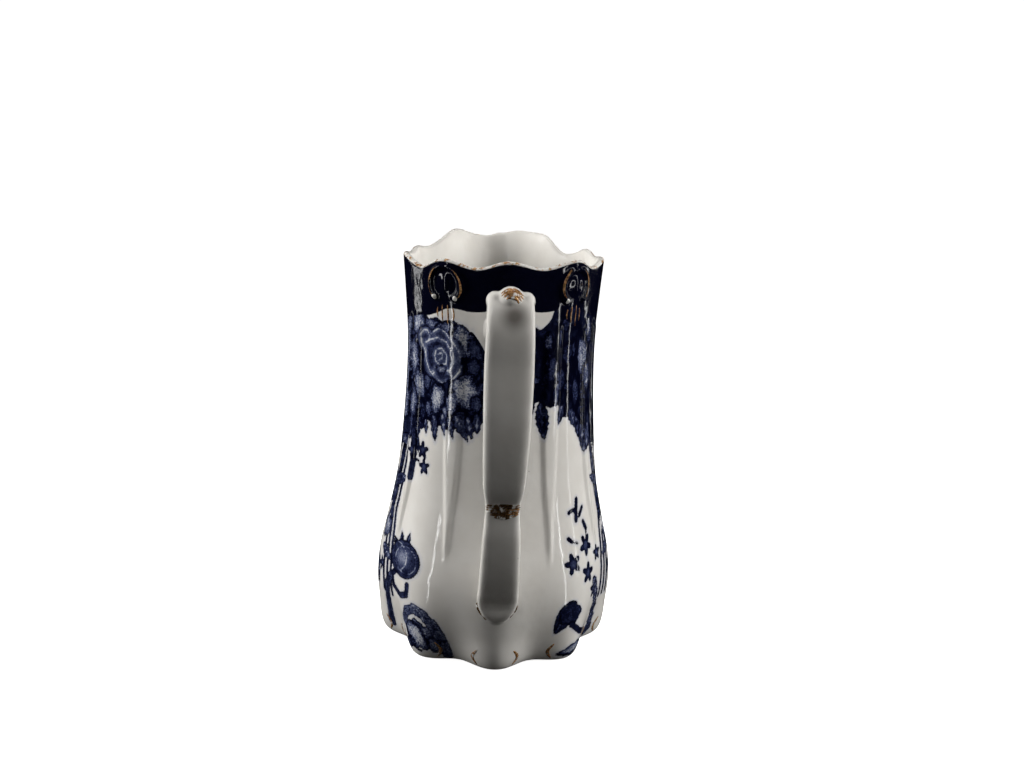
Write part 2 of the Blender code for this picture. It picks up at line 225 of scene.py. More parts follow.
def tube_faces(rows, columns, first=0, ring=False):
    """Quads of a grid whose columns close on themselves. A ring's rows do too; a tube is capped."""
    i, j = np.meshgrid(np.arange(rows - (not ring)), np.arange(columns), indexing="ij")
    k, here, after = (j + 1) % columns, i * columns, (i + 1) % rows * columns
    quads = np.stack([here + j, here + k, after + k, after + j], -1)
    faces = (quads.reshape(-1, 4) + first).tolist()
    if not ring:
        faces.append([first + c for c in range(columns)][::-1])
        faces.append([first + (rows - 1) * columns + c for c in range(columns)])
    return faces


def outward(obj):
    """Turns every face to point out of its closed shell."""
    work = bmesh.new()
    work.from_mesh(obj.data)
    bmesh.ops.recalc_face_normals(work, faces=work.faces)
    work.to_mesh(obj.data)
    work.free()
    return obj


def baked(obj):
    """Replaces the object's mesh by its evaluated one, so that no modifier is left."""
    bpy.context.view_layer.update()
    graph = bpy.context.evaluated_depsgraph_get()
    mesh = bpy.data.meshes.new_from_object(obj.evaluated_get(graph))
    obj.modifiers.clear()
    obj.data = mesh
    return obj


def finished(obj, node):
    """Declares a piece: it rides on the only body and stands for this CAD node."""
    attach(obj, "root")
    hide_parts(node)
    return obj


# ---- shader helpers
class Nodes:
    """Builds the node tree of a new material or world with short calls that return sockets."""

    def __init__(self, owner, shader="Principled BSDF"):
        owner.use_nodes = True
        self.owner, self.tree = owner, owner.node_tree
        self.shader = self.tree.nodes[shader]

    def put(self, socket, value):
        if isinstance(value, bpy.types.NodeSocket):
            self.tree.links.new(value, socket)
        else:
            socket.default_value = value

    def shade(self, name, value):
        self.put(self.shader.inputs[name], value)

    def add(self, kind, inputs, output=0, **settings):
        """An output of a new node with these settings and inputs."""
        node = self.tree.nodes.new("ShaderNode" + kind)
        for name, value in settings.items():
            setattr(node, name, value)
        for key, value in inputs.items():
            self.put(node.inputs[key], value)
        return node.outputs[output]

    def math(self, operation, a, b, clamp=False):
        return self.add("Math", {0: a, 1: b}, operation=operation, use_clamp=clamp)

    def plus(self, a, b, share):
        """a and this share of b."""
        return self.math("ADD", a, self.math("MULTIPLY", b, share))

    def step(self, value, low, high, bottom=0.0, top=1.0):
        """From bottom, at low, to top, at high, with a smooth change between."""
        if low > high:
            low, high, bottom, top = high, low, top, bottom
        ends = {"Value": value, "From Min": low, "From Max": high, "To Min": bottom, "To Max": top}
        return self.add("MapRange", ends, interpolation_type="SMOOTHSTEP")

    def mix(self, factor, a, b):
        return self.add("Mix", {"Factor": factor, 6: a, 7: b}, 2, data_type="RGBA")

    def ramp(self, value, stops):
        node = self.tree.nodes.new("ShaderNodeValToRGB")
        elements = node.color_ramp.elements
        while len(elements) < len(stops):
            elements.new(0.5)
        for element, (place, colour) in zip(elements, stops):
            element.position = place
            element.color = (*colour, 1.0)
        self.put(node.inputs[0], value)
        return node.outputs[0]

    def attribute(self, name):
        return self.add("Attribute", {}, "Fac", attribute_name=name)

    def place(self):
        return self.add("TexCoord", {}, "Object")

    def noise(self, size_mm, detail=2.0, rough=0.5):
        """Noise about 0.5 whose blotches are about this size."""
        scale = 1 / (size_mm * MM)
        inputs = {"Vector": self.place(), "Scale": scale, "Detail": detail, "Roughness": rough}
        return self.add("TexNoise", inputs, "Fac")

    def specks(self, spacing_mm, size_mm):
        """1 in the middle of a few scattered dots of this size, 0 elsewhere."""
        cells = {"Vector": self.place(), "Scale": 1 / (spacing_mm * MM)}
        away = self.add("TexVoronoi", cells, "Distance")
        return self.step(away, size_mm / spacing_mm, 0.3 * size_mm / spacing_mm)

    def bump(self, height, distance_mm):
        inputs = {"Strength": 1.0, "Distance": distance_mm * MM, "Height": height}
        self.shade("Normal", self.add("Bump", inputs))


PORCELAIN = (0.80, 0.785, 0.755, 1.0)
MOTTLE = (0.745, 0.725, 0.69, 1.0)
PINHOLE = (0.10, 0.075, 0.06, 1.0)
PAINTED_HOLLOW_SHADE = (0.13, 0.115, 0.105, 1.0)  # painted shade, darkening the porcelain in the hollow under the thumb rest
BARE_CLAY = (0.62, 0.57, 0.49, 1.0)
INK_BLEED = (0.30, 0.35, 0.54, 1.0)
NAVY = (0.0016, 0.0018, 0.008, 1.0)
INKS = (
    (0.00, (0.0012, 0.0014, 0.0075)),
    (0.20, (0.0085, 0.0115, 0.038)),
    (0.42, (0.040, 0.051, 0.112)),
    (0.62, (0.120, 0.140, 0.228)),
    (0.80, (0.270, 0.295, 0.390)),
    (1.00, (0.560, 0.575, 0.620)),
)  # from the thickest cobalt to the palest stippled wash
GOLD_TINTS = ((0.3, (0.30, 0.13, 0.055)), (0.6, (0.66, 0.36, 0.15)), (0.85, (0.93, 0.68, 0.36)))


def porcelain_colour(nodes):
    """White body with the faint grey mottling and pinholes of an old glaze."""
    mottled = nodes.step(nodes.noise(9.0, 3.0), 0.3, 0.75)
    white = nodes.mix(mottled, MOTTLE, PORCELAIN)
    return nodes.mix(nodes.specks(6.5, 0.16), white, PINHOLE)


def glaze(nodes, colour, roughness=0.06):
    """A glossy skin with the slight waves of a dipped glaze."""
    nodes.shade("Base Color", colour)
    nodes.shade("Roughness", roughness)
    nodes.shade("IOR", 1.50)
    nodes.bump(nodes.plus(nodes.noise(4.5, 1.0), nodes.noise(0.9, 1.0), 0.08), 0.10)
    return nodes.owner


def plain_porcelain(name, shade_spots=()):
    """Glazed white body, darkened with painted shade round these places in millimetres."""
    nodes = Nodes(bpy.data.materials.new(name))
    colour = porcelain_colour(nodes)
    # painted shade: the porcelain turns darker within each spot's radius
    for centre, radius in shade_spots:
        ends = {0: nodes.place(), 1: [value * MM for value in centre]}
        away = nodes.add("VectorMath", ends, "Value", operation="DISTANCE")
        near = nodes.step(away, radius * MM, 0.1 * radius * MM)
        colour = nodes.mix(nodes.math("MULTIPLY", near, 0.88), colour, PAINTED_HOLLOW_SHADE)
    return glaze(nodes, colour)


def printed_porcelain():
    """Glazed white body with the blurred cobalt print, the rim band and the bare foot ring."""
    nodes = Nodes(bpy.data.materials.new("printed_porcelain"))
    fine = nodes.math("SUBTRACT", nodes.noise(0.50, 2.0), 0.5)
    coarse = nodes.math("SUBTRACT", nodes.noise(2.4, 3.0), 0.5)

    tone = nodes.plus(nodes.attribute("tone"), coarse, 0.55)
    tone = nodes.plus(tone, nodes.math("MULTIPLY", fine, nodes.attribute("stipple")), 3.4)
    drawn = nodes.step(nodes.attribute("line"), 0.40, 0.10)
    drawn = nodes.math("MULTIPLY", drawn, nodes.step(coarse, -0.30, 0.05))
    tone = nodes.plus(tone, drawn, 0.56)
    edge = nodes.step(nodes.attribute("edge"), 0.50, 0.12)
    tone = nodes.math("SUBTRACT", tone, nodes.math("MULTIPLY", edge, 0.24), clamp=True)

    ink = nodes.plus(nodes.attribute("ink"), fine, 0.7)
    bleed = nodes.math("MULTIPLY", nodes.step(ink, -1.2, 0.1), 0.30)
    white = nodes.mix(bleed, porcelain_colour(nodes), INK_BLEED)
    colour = nodes.mix(nodes.step(ink, -0.14, 0.14), white, nodes.ramp(tone, INKS))
    band = nodes.plus(nodes.attribute("band"), fine, 0.3)
    colour = nodes.mix(nodes.step(band, -0.15, 0.15), colour, NAVY)
    bare = nodes.attribute("bare")
    return glaze(nodes, nodes.mix(bare, colour, BARE_CLAY), nodes.plus(0.07, bare, 0.6))


def worn_gold(name, bare_share, under, bright=1.0):
    """Brushed-on gold, rubbed through to what lies under it over this share. A bright below 1 darkens the
    gold's colour as painted shade.
    """
    nodes = Nodes(bpy.data.materials.new(name))
    worn = 0.34 + 0.32 * bare_share
    kept = nodes.step(nodes.noise(1.6, 4.0, 0.65), worn - 0.05, worn + 0.05)
    tints = [(place, [value * bright for value in tint]) for place, tint in GOLD_TINTS]
    nodes.shade("Base Color", nodes.mix(kept, under, nodes.ramp(nodes.noise(0.8), tints)))
    nodes.shade("Metallic", nodes.math("MULTIPLY", kept, 0.6))
    nodes.shade("Roughness", nodes.step(nodes.noise(0.6), -0.4, 2.2))
    nodes.bump(nodes.noise(0.35), 0.03)
    return nodes.owner


# ---- the cobalt print
FAR = 9.0  # mm, stands for "nowhere near"
PRINT_TURN = 1.7  # degrees by which the transfer sits off the handle's line
ROSE_PETALS = (2, 3, 3, 4, 5)  # in each ring of a rose, from its heart

OPEN_ROSE_LOBES = (
    (-0.72, 0.46, 0.44), (-0.02, 0.52, 0.42), (0.48, 0.22, 0.44), (0.50, -0.36, 0.40),
    (0.05, -0.58, 0.36), (-0.42, -0.34, 0.46),
)
OPEN_ROSE_LINES = (
    ((-0.80, -0.02), (-0.94, 0.26), (-1.00, 0.54), (-0.88, 0.74), (-0.62, 0.76), (-0.48, 0.62),
     (-0.56, 0.42), (-0.74, 0.34)),
    ((-0.48, 0.62), (-0.28, 0.78), (-0.04, 0.90), (0.24, 0.80), (0.52, 0.54), (0.75, 0.24), (0.88, -0.10),
     (0.80, -0.45), (0.52, -0.78), (0.14, -0.92), (-0.16, -0.78), (-0.30, -0.56)),
    ((-0.50, 0.46), (-0.12, 0.58), (0.28, 0.48), (0.54, 0.20), (0.60, -0.16), (0.44, -0.50)),
    ((-0.24, -0.04), (-0.16, 0.19), (0.07, 0.25), (0.29, 0.04), (0.25, -0.25), (-0.02, -0.33),
     (-0.20, -0.19), (-0.24, -0.04)),
    ((-0.10, 0.02), (0.06, 0.09), (0.11, -0.07), (-0.02, -0.16)),
    ((-0.20, -0.43), (0.03, -0.38), (0.20, -0.50), (0.44, -0.43)),
    ((-0.76, 0.16), (-0.70, -0.24), (-0.50, -0.58), (-0.16, -0.78)),
)
BAND_EDGE = (
    (-180, 106.5), (-160, 108.5), (-140, 106), (-117, 108.5), (-98, 105.5), (-78, 101.5), (-58, 103),
    (-48, 103.6), (-41, 104.8), (-35, 106.2), (-29, 106.4), (-21, 105.9), (-11, 106.3), (0, 108.4),
    (11, 107.2), (20, 106.3), (31, 106.8), (43, 107.5), (60, 104.5), (78, 101.5), (98, 105.5),
    (117, 108.5), (140, 106), (160, 108.5), (180, 106.5),
)  # lower edge of the cobalt band under the rim


class Print:
    """The painted fields, one value for every point of the outside of the body.

    ink is the signed distance in mm into the print, edge and line the distances to the nearest
    dark outline and pale drawn line, tone runs from the thickest blue, 0, to the palest, 1, and
    stipple is how strongly fine dots break the tone up.
    """

    def __init__(self, angle, height):
        self.angle, self.height = angle, height
        self.mm_per_degree = np.radians(1) * through(SILHOUETTE, height)
        self.ink = np.full(angle.shape, -FAR)
        self.edge = np.full(angle.shape, FAR)
        self.line = np.full(angle.shape, FAR)
        self.tone = np.full(angle.shape, 0.1)
        self.stipple = np.full(angle.shape, 0.1)

    def local(self, angle, height, turn=0.0):
        """Distances across and up from a place on the surface, turned anticlockwise."""
        across = wrapped(self.angle - angle) * self.mm_per_degree
        up = self.height - height
        c, s = math.cos(math.radians(turn)), math.sin(math.radians(turn))
        return c * across + s * up, c * up - s * across

    def cover(self, inside, tone, stipple=0.1, line=FAR):
        """Paints where the signed distance is above 0, over what is there."""
        where = inside > 0
        for field, value in ((self.tone, tone), (self.stipple, stipple), (self.line, line)):
            field[where] = np.broadcast_to(value, field.shape)[where]
        self.edge = np.minimum(np.where(where, FAR, self.edge), np.abs(inside))
        self.ink = np.maximum(self.ink, inside)

    def ground(self, top, bottom, low, high, tone):
        """A dark ground between two wavy edges, from one angle to another."""
        t = through(top, self.angle)
        b = through(bottom, self.angle)
        sides = np.minimum(self.angle - low, high - self.angle) * self.mm_per_degree
        inside = np.minimum(np.minimum(t - self.height, self.height - b), sides)
        wave = 0.8 * np.sin(self.angle * 0.55) + 0.6 * np.sin(self.height * 0.9 + self.angle * 0.21)
        blot = np.sin(self.angle * 0.37 + 1.3 * np.sin(self.height * 0.31))
        blot = blot * np.sin(self.height * 0.52 + 1.1 * np.sin(self.angle * 0.23))
        self.cover(inside + wave, tone + 0.10 * blot)

    def rose(self, angle, height, size, turn, tone, rings):
        """Rings of overlapping petals, each dark at its root and pale along its edge."""
        x, y = self.local(angle, height, turn)
        x = x / 0.92
        r, around = np.hypot(x, y) / size, np.arctan2(y, x)
        shade, line, inner = np.zeros_like(r), np.full_like(r, FAR), np.zeros_like(r)
        for ring in range(rings):
            petals = ROSE_PETALS[ring + max(0, 4 - rings)]
            bulge = np.abs(np.cos(petals * (around / 2 + 0.73 * ring))) ** 0.6
            outer = ((ring + 1) / rings) ** 0.85 * (0.74 + 0.28 * bulge)
            share = (r - inner) / np.maximum(outer - inner, 0.02)
            here = (share >= 0) & (share < 1)
            shade = np.where(here, 0.06 + 0.26 * np.clip(share, 0, 1) ** 1.4, shade)
            line = np.minimum(line, np.abs(r - outer) * size)
            inner = outer
        light = 0.12 * np.cos(around - 1.1) * np.clip(r, 0, 1)
        self.cover((inner - r) * size, tone + shade + light, 0.1, line)

    def open_rose(self, angle, height, size):
        """A blown rose: a pale ragged disc, dark between the drawn edges of its petals."""
        x, y = self.local(angle, height)
        x, y = x / size, y / size
        inside = 0.86 - np.hypot(x, y)
        for lobe_x, lobe_y, lobe in OPEN_ROSE_LOBES:
            inside = np.maximum(inside, lobe - np.hypot(x - lobe_x, y - lobe_y))
        line = np.full_like(x, FAR)
        for places in OPEN_ROSE_LINES:
            for (x0, y0), (x1, y1) in zip(places, places[1:]):
                dx, dy = x1 - x0, y1 - y0
                t = np.clip(((x - x0) * dx + (y - y0) * dy) / (dx * dx + dy * dy), 0, 1)
                line = np.minimum(line, np.hypot(x - x0 - t * dx, y - y0 - t * dy))
        tone = 0.44 - 0.30 * smooth(0.06, 0.17, line) + 0.10 * smooth(0.2, 0.9, np.hypot(x, y))
        self.cover(inside * size, tone, 0.16, line * size)

    def scatter(self, seed, count, low, high, bottom, top, palest):
        """Small ragged petals strewn over a ground, most of them dim."""
        draw = np.random.default_rng(seed)
        for _ in range(count):
            angle, height = draw.uniform(low, high), draw.uniform(bottom, top)
            wide, tall = draw.uniform(0.9, 2.0), draw.uniform(1.3, 3.2)
            pale = 0.14 + (palest - 0.14) * draw.uniform() ** 1.6
            if self.ink_at(angle, height) > 1.5:
                self.petal(angle, height, wide, tall, draw.uniform(-40, 40), pale, 0.26)

    def ink_at(self, angle, height):
        """How far inside the print the nearest painted point is."""
        away = np.abs(wrapped(self.angle - angle)) + np.abs(self.height - height)
        return self.ink.reshape(-1)[np.argmin(away)]

    def petal(self, angle, height, half_wide, half_tall, turn, pale, stipple):
        """A loose petal, palest in the middle and ragged at its edge."""
        x, y = self.local(angle, height, turn)
        r = np.hypot(x / half_wide, y / half_tall)
        around = np.arctan2(y, x)
        ragged = 1 + 0.09 * np.cos(5 * around + angle) + 0.05 * np.cos(11 * around + height)
        tone = 0.16 + (pale - 0.16) * (1 - np.clip(r / ragged, 0, 1) ** 1.8)
        self.cover((ragged - r) * min(half_wide, half_tall), tone, stipple)

    def leaf(self, angle, height, length, width, turn, tone=0.2, stipple=0.16, teeth=0.2):
        """A pointed leaf growing from its stalk end in the turned direction."""
        x, y = self.local(angle, height, turn)
        t = np.clip(x / length, 0, 1)
        half = width / 2 * np.sin(np.pi * t**0.8) ** 0.85
        half = half * (1 - teeth * (0.5 + 0.5 * np.cos(x * 2 * np.pi / 1.9)))
        off_end = np.hypot(np.maximum(-x, x - length), y)
        inside = np.where((x > 0) & (x < length), half - np.abs(y), -off_end)
        vein = np.abs(np.abs(y) - 0.55 * ((x - 0.6) % 2.2))
        line = np.minimum(np.abs(y) + 0.05, vein + 0.16)
        shade = 0.20 * np.clip(np.abs(y) / np.maximum(half, 0.1), 0, 1)
        self.cover(inside, tone + shade, stipple, line)

    def floret(self, angle, height, size, turn, tone=0.14):
        """A small flower of five pointed petals."""
        x, y = self.local(angle, height, turn)
        r, around = np.hypot(x, y), np.arctan2(y, x) - math.radians(turn)
        edge = size * (0.40 + 0.60 * np.abs(np.cos(2.5 * around)) ** 1.2)
        heart = smooth(0.45 * size, 0.15 * size, r) * 0.3
        self.cover(edge - r, tone + heart, 0.12)

    def stroke(self, places, width, tone=0.14, taper=0.0, stipple=0.1):
        """A brushed line through (angle, height) places, thinner at its far end by the taper."""
        run = 0.0
        for (a0, h0), (a1, h1) in zip(places, places[1:]):
            x, y = self.local(a0, h0)
            dx = (a1 - a0) * self.mm_per_degree
            dy = h1 - h0
            t = np.clip((x * dx + y * dy) / (dx * dx + dy * dy), 0, 1)
            away = np.hypot(x - t * dx, y - t * dy)
            half = width / 2 * (1 - taper * (run + t) / (len(places) - 1))
            self.cover(half - away, tone + 0.22 * away / half, stipple)
            run += 1

    def bud(self, angle, height, size, turn, wide):
        """A round bud with folded petals and a crown of three sepals."""
        for lean in (-30, 0, 30):
            rise = 0.66 * size
            x = -rise * wide * math.sin(math.radians(turn + lean))
            y = rise * math.cos(math.radians(turn + lean))
            self.leaf(angle + x / 0.63, height + y, 0.85 * size, 0.46 * size, 90 + turn + lean, 0.08)
        x, y = self.local(angle, height)
        x = x / wide
        r = np.hypot(x, y)
        left_fold = np.abs(np.hypot(x + 0.5 * size, y) - 0.72 * size)
        right_fold = np.abs(np.hypot(x - 0.1 * size, y) - 0.70 * size)
        tone = 0.26 + 0.50 * smooth(0.75 * size, 0.0, np.hypot(x + 0.05 * size, y - 0.05 * size))
        self.cover(size - r, tone, 0.16, np.minimum(left_fold, right_fold) + 0.08)


def each(brush, rows, side=1, **same):
    """The same brush for every row. A row starts with an angle, mirrored when the side is -1."""
    for angle, *rest in rows:
        brush(side * angle, *rest, **same)


def paint_left(p):
    """The bouquet beside the handle on the -X side."""
    top = (
        (-100, 103.5), (-70, 104), (-55, 103), (-47, 102.8), (-40, 101.8), (-33, 103), (-27, 101.6),
        (-20, 99.5), (-13, 95), (-9, 88), (-5, 82),
    )
    bottom = (
        (-100, 66), (-63, 66.5), (-52, 71), (-42, 71), (-34, 72), (-21, 72.5), (-13, 74), (-9, 77), (-5, 81),
    )
    p.ground(top, bottom, -100, -5, 0.15)
    p.scatter(3, 60, -100, -54, 70, 104, 0.85)
    p.scatter(5, 26, -56, -12, 74, 101, 0.4)
    each(p.petal, (
        (-61.5, 100.6, 4.8, 3.6, 20, 0.86, 0.4), (-66.5, 90, 3.8, 6.4, 8, 0.82, 0.42),
        (-58.5, 82.4, 2.8, 4.8, 10, 0.8, 0.44), (-65, 76.4, 3.2, 5, -10, 0.78, 0.42),
    ))
    p.stroke(((-73, 101), (-75, 88), (-74, 72)), 2.2, 0.55, 0, 0.4)
    each(p.petal, (
        (-51.5, 84, 1.7, 3, 0, 0.45, 0.3), (-47, 101, 4, 1.7, -8, 0.62, 0.36),
        (-38, 100.6, 3.6, 1.7, 10, 0.58, 0.36), (-42.2, 79.8, 2.8, 4.6, -6, 1, 0.46),
        (-49, 76.2, 1.5, 2.9, 8, 0.55, 0.34), (-25.4, 96.9, 3.4, 5.2, 24, 1, 0.52),
        (-19, 95, 1.9, 3.6, 30, 0.38, 0.26), (-24.4, 82.8, 4.5, 5.2, 10, 1, 0.56),
        (-31.8, 79, 2, 3.4, 0, 0.92, 0.46), (-36, 76, 1.5, 2.4, 10, 0.66, 0.4),
        (-17, 79.5, 1.8, 2.6, 10, 0.4, 0.3), (-19.5, 90, 2.1, 2.5, 0, 0.34, 0.24),
    ))
    p.open_rose(-41.2, 92.4, 8.7)
    p.petal(-39.8, 88.4, 2, 1.2, 0, 0.84, 0.3)
    each(p.leaf, (
        (-66, 74, 9.5, 3.8, -88, 0.24), (-57, 73, 8, 3, -96, 0.12), (-51, 73, 5, 2.6, -80, 0.1),
        (-44.5, 75, 8.6, 3.2, -80, 0.18), (-38, 76, 7.6, 2.6, -78, 0.22), (-33.5, 75.5, 7.4, 2.4, -72, 0.16),
        (-29, 76, 9, 3.6, -62, 0.26), (-22, 76, 7.4, 2.8, -76, 0.12), (-16.5, 77, 6.6, 3.2, -86, 0.14),
    ), teeth=0.28)
    p.leaf(-58.5, 67, 5.4, 2.8, -74, 0.16)
    p.floret(-51.5, 63.2, 2.9, 10)
    p.floret(-48.9, 58.4, 2.6, 50)
    p.stroke(((-61, 68), (-60, 62), (-59.5, 58.8), (-60.5, 54)), 2.4)
    p.floret(-60.7, 62.2, 2.4, 20)
    p.stroke(((-59, 60), (-54, 59.5)), 0.8, 0.12)


def paint_right(p):
    """The darker bouquet beside the handle on the +X side."""
    top = ((5, 84), (8, 92), (11, 98), (15, 100.8), (20, 101.8), (25, 104), (30, 108), (60, 109), (100, 104))
    bottom = (
        (5, 86), (9, 82), (13, 80.5), (24, 80), (28, 79.5), (32, 78.5), (36, 76.5), (42, 74.5), (49, 70),
        (55, 67), (75, 64), (100, 66),
    )
    p.ground(top, bottom, 5, 100, 0.03)
    p.scatter(11, 30, 12, 100, 72, 103, 0.34)
    each(p.petal, (
        (24, 97.6, 1.2, 2.6, 0, 0.62, 0.42), (31.5, 99, 0.9, 3.8, 0, 0.34, 0.2),
        (17, 86.6, 1.8, 1.1, 0, 0.48, 0.36), (27.5, 90, 1.7, 4.2, -6, 0.3, 0.2),
        (33, 86.5, 2.2, 3.6, 0, 0.26, 0.18), (38.5, 94, 2, 3.4, 0, 0.22, 0.16),
        (53, 92.5, 2.4, 6, 4, 0.8, 0.44), (58.5, 86, 2.4, 5, -4, 0.52, 0.34),
        (47, 82, 1.8, 4.6, 0, 0.3, 0.22), (60, 99.5, 3, 3.6, 0, 0.42, 0.3),
    ))
    each(p.leaf, (
        (20.5, 80.5, 11.4, 4.4, -84, 0.02), (14.5, 82, 7.4, 3.4, -96, 0.03), (31, 86, 8, 2.2, -96, 0.22),
        (35.5, 79, 6.5, 3.2, -106, 0.14), (41, 77.5, 7.6, 3.8, -62, 0.2), (47.5, 75, 8, 3.6, -76, 0.08),
        (53.5, 72, 9.5, 4.2, -82, 0.12), (60, 72, 9, 3.8, -96, 0.26),
    ))


def paint_foot_left(p):
    """Round bud, curled leaf and a flower cluster on the -X side of the foot."""
    curl = ((-58, 26), (-63, 23.2), (-61, 20), (-54, 18.4), (-48.2, 19.9), (-48, 23))
    p.stroke(curl, 2.1, 0.18)
    p.stroke(((-65, 22), (-68.5, 18.5), (-70, 12), (-71, 5)), 3.2, 0.18, 0, 0.3)
    p.bud(-53.4, 29.8, 5.6, 24, 1.42)
    p.petal(-41.5, 8.4, 5.8, 4.6, -20, 1, 0.5)
    p.stroke(((-51.5, 11), (-48.5, 14.8), (-43, 16.6)), 3.4, 0.34, 0.1, 0.4)
    p.stroke(((-43, 16.6), (-37.5, 15.6), (-33, 12)), 3.6, 0.4, 0.1, 0.44)
    p.stroke(((-33.4, 13), (-30.4, 9.4), (-28.2, 5.6), (-27.4, 2.4)), 3.8, 0.34, 0.1, 0.42)
    p.petal(-47.5, 4.6, 3.4, 1.8, 30, 0.4, 0.4)
    p.petal(-33, 5.6, 2, 2.8, 20, 0.62, 0.4)
    p.stroke(((-50.4, 8.6), (-46, 4.6), (-40, 3)), 1, 0.06)
    p.stroke(((-45, 12.2), (-40, 11.2), (-36, 6)), 0.8, 0.04)


def paint_foot_right(p):
    """Falling florets, a spray and a dark bud on the +X side of the foot."""
    for places, width, tone in (
        (((45.4, 49.6), (44.2, 46.4), (43.4, 43.6)), 1.7, 0.06),
        (((38.2, 46.4), (41.4, 46.9), (44.2, 46)), 1.3, 0.06),
        (((50.4, 46.6), (46.5, 44.6)), 1.4, 0.06), (((49.6, 42.4), (51.8, 40)), 1.7, 0.06),
        (((51.6, 40.2), (50.5, 36)), 0.8, 0.08), (((36.2, 38.9), (38.2, 38)), 1.4, 0.06),
        (((38, 38), (42.4, 36.9)), 0.8, 0.08),
    ):
        p.stroke(places, width, tone)
    each(p.floret, (
        (49.4, 35.4, 3.5, 60), (37.6, 31.4, 3.4, 15), (48.6, 27, 3.4, 40), (55.4, 20.6, 3.1, 10),
        (60, 31, 2.6, 80),
    ), tone=0.13)
    each(p.leaf, (
        (53.5, 24.5, 6.5, 3.6, -50, 0.12), (57, 20.5, 7, 4.4, -66, 0.26), (60.5, 15.5, 6.5, 5, -84, 0.1),
        (61, 11, 6, 4.6, -70, 0.3), (63.5, 7, 5.5, 5, -96, 0.16),
    ), stipple=0.4)
    p.leaf(37, 20.6, 12, 6.6, -118, 0.03, teeth=0.04)
    p.petal(36, 16.4, 4.3, 3.7, -16, 0.16, 0.12)
    p.stroke(((37, 12.6), (44, 9), (52, 7)), 2, 0.04)
    p.petal(40.5, 3.9, 5.2, 2, 12, 0.88, 0.4)
    p.stroke(((33.5, 2.6), (39, 2), (46, 3.4)), 1, 0.1)


def paint_side(p, side):
    """A tall spray down the widest part of each side, from the bouquet to the foot."""
    p.rose(side * 92, 92, 8.8, 30, 0.18, 5)
    each(p.petal, (
        (78, 96, 2.6, 4.8, 10, 0.85, 0.42), (77, 80, 3, 5, -10, 0.8, 0.42),
        (105, 81, 3.6, 4.4, 20, 0.86, 0.46), (90, 79, 3.4, 3.8, 0, 0.6, 0.36),
        (108, 97, 3, 4.4, -20, 0.7, 0.4),
    ), side)
    for first in (66, 70, 74):
        stem = ((first, 68), (first + 4, 54), (first + 5, 42), (first - 1, 28), (first - 2, 16))
        p.stroke([(side * angle, height) for angle, height in stem], 1.5, 0.18)
    p.stroke(((side * 96, 68), (side * 94, 56), (side * 90, 44)), 1.2)
    p.rose(side * 89, 48, 7.4, 50, 0.2, 4)
    p.petal(side * 78, 36, 3.2, 4.2, 0, 0.85, 0.42)
    p.rose(side * 98, 34, 5.2, 70, 0.24, 3)
    for offset, height, length, width, turn in (
        (-12, 50, 9, 4, 150), (10, 50, 9, 4.2, 20), (-8, 58, 9, 3.4, 110), (8, 60, 8, 3.4, 70),
        (-10, 32, 9, 4, 200), (12, 30, 9, 4, -20), (-4, 28, 10, 4.2, -110), (7, 27, 10, 4.2, -70),
        (-14, 70, 9, 3.4, -100), (-4, 70, 9, 3.6, -90), (6, 70, 9, 3.6, -95), (16, 70, 9, 3.4, -80),
    ):
        p.leaf(side * 90 + offset, height, length, width, turn, teeth=0.22)
    for offset, height in ((-15, 24), (-9, 18), (14, 20), (18, 27), (2, 13)):
        p.floret(side * (90 + offset), height, 2.4, 25 * offset)


def paint_front(p):
    """The ground carried round under the lip, with its own roses and trailing leaves."""
    p.rose(180, 91, 8.8, 90, 0.18, 5)
    p.petal(180, 101, 5, 2, 0, 0.66, 0.4)
    for side in (-1, 1):
        each(p.petal, (
            (163, 99, 3.4, 4.2, 20 * side, 0.9, 0.46), (163, 84, 3.6, 4.6, -20 * side, 0.9, 0.48),
            (170, 78, 2.2, 3.6, 10, 0.76, 0.4),
        ), side)
        p.rose(side * 138, 92.5, 7.2, 15, 0.18, 4)
        each(p.petal, (
            (121, 96, 2.8, 4.4, 0, 0.82, 0.42), (122, 82, 3.2, 4.4, 15, 0.86, 0.46),
            (138, 79, 4.2, 2.8, 0, 0.66, 0.4), (150, 79.5, 2.6, 4, 0, 0.84, 0.42),
        ), side)
        for angle, turn in (
            (116, -95), (123, -84), (130, -92), (138, -100), (146, -82), (153, -92), (160, -100), (169, -80),
        ):
            p.leaf(side * angle, 76, 9, 3.4, turn, 0.18, teeth=0.28)
        each(p.floret, ((142, 59.5, 2.5, 10), (146.5, 53.5, 2.3, 40), (139, 51.5, 1.9, 70)), side)
        p.stroke(((side * 144, 68), (side * 142, 60), (side * 146, 54)), 0.8)
        p.petal(side * 146, 11, 4.2, 3.6, 0, 0.9, 0.44)
        p.leaf(side * 153, 15, 11, 4.6, 90 - side * 50, 0.2, 0.26)
        p.leaf(side * 141, 13, 9, 4.2, 90 + side * 70, 0.18, 0.26)
    p.leaf(180, 77, 13, 4.4, -90, 0.16, teeth=0.28)
    p.rose(180, 34, 5.8, 0, 0.18, 4)
    p.stroke(((180, 40), (178, 50), (180, 60)), 0.9)
    for turn in (20, 160, 230, 310):
        x, y = 5 * math.cos(math.radians(turn)), 5 * math.sin(math.radians(turn))
        p.leaf(180 + x / 0.62, 34 + y, 6.5, 3.8, turn, 0.18)


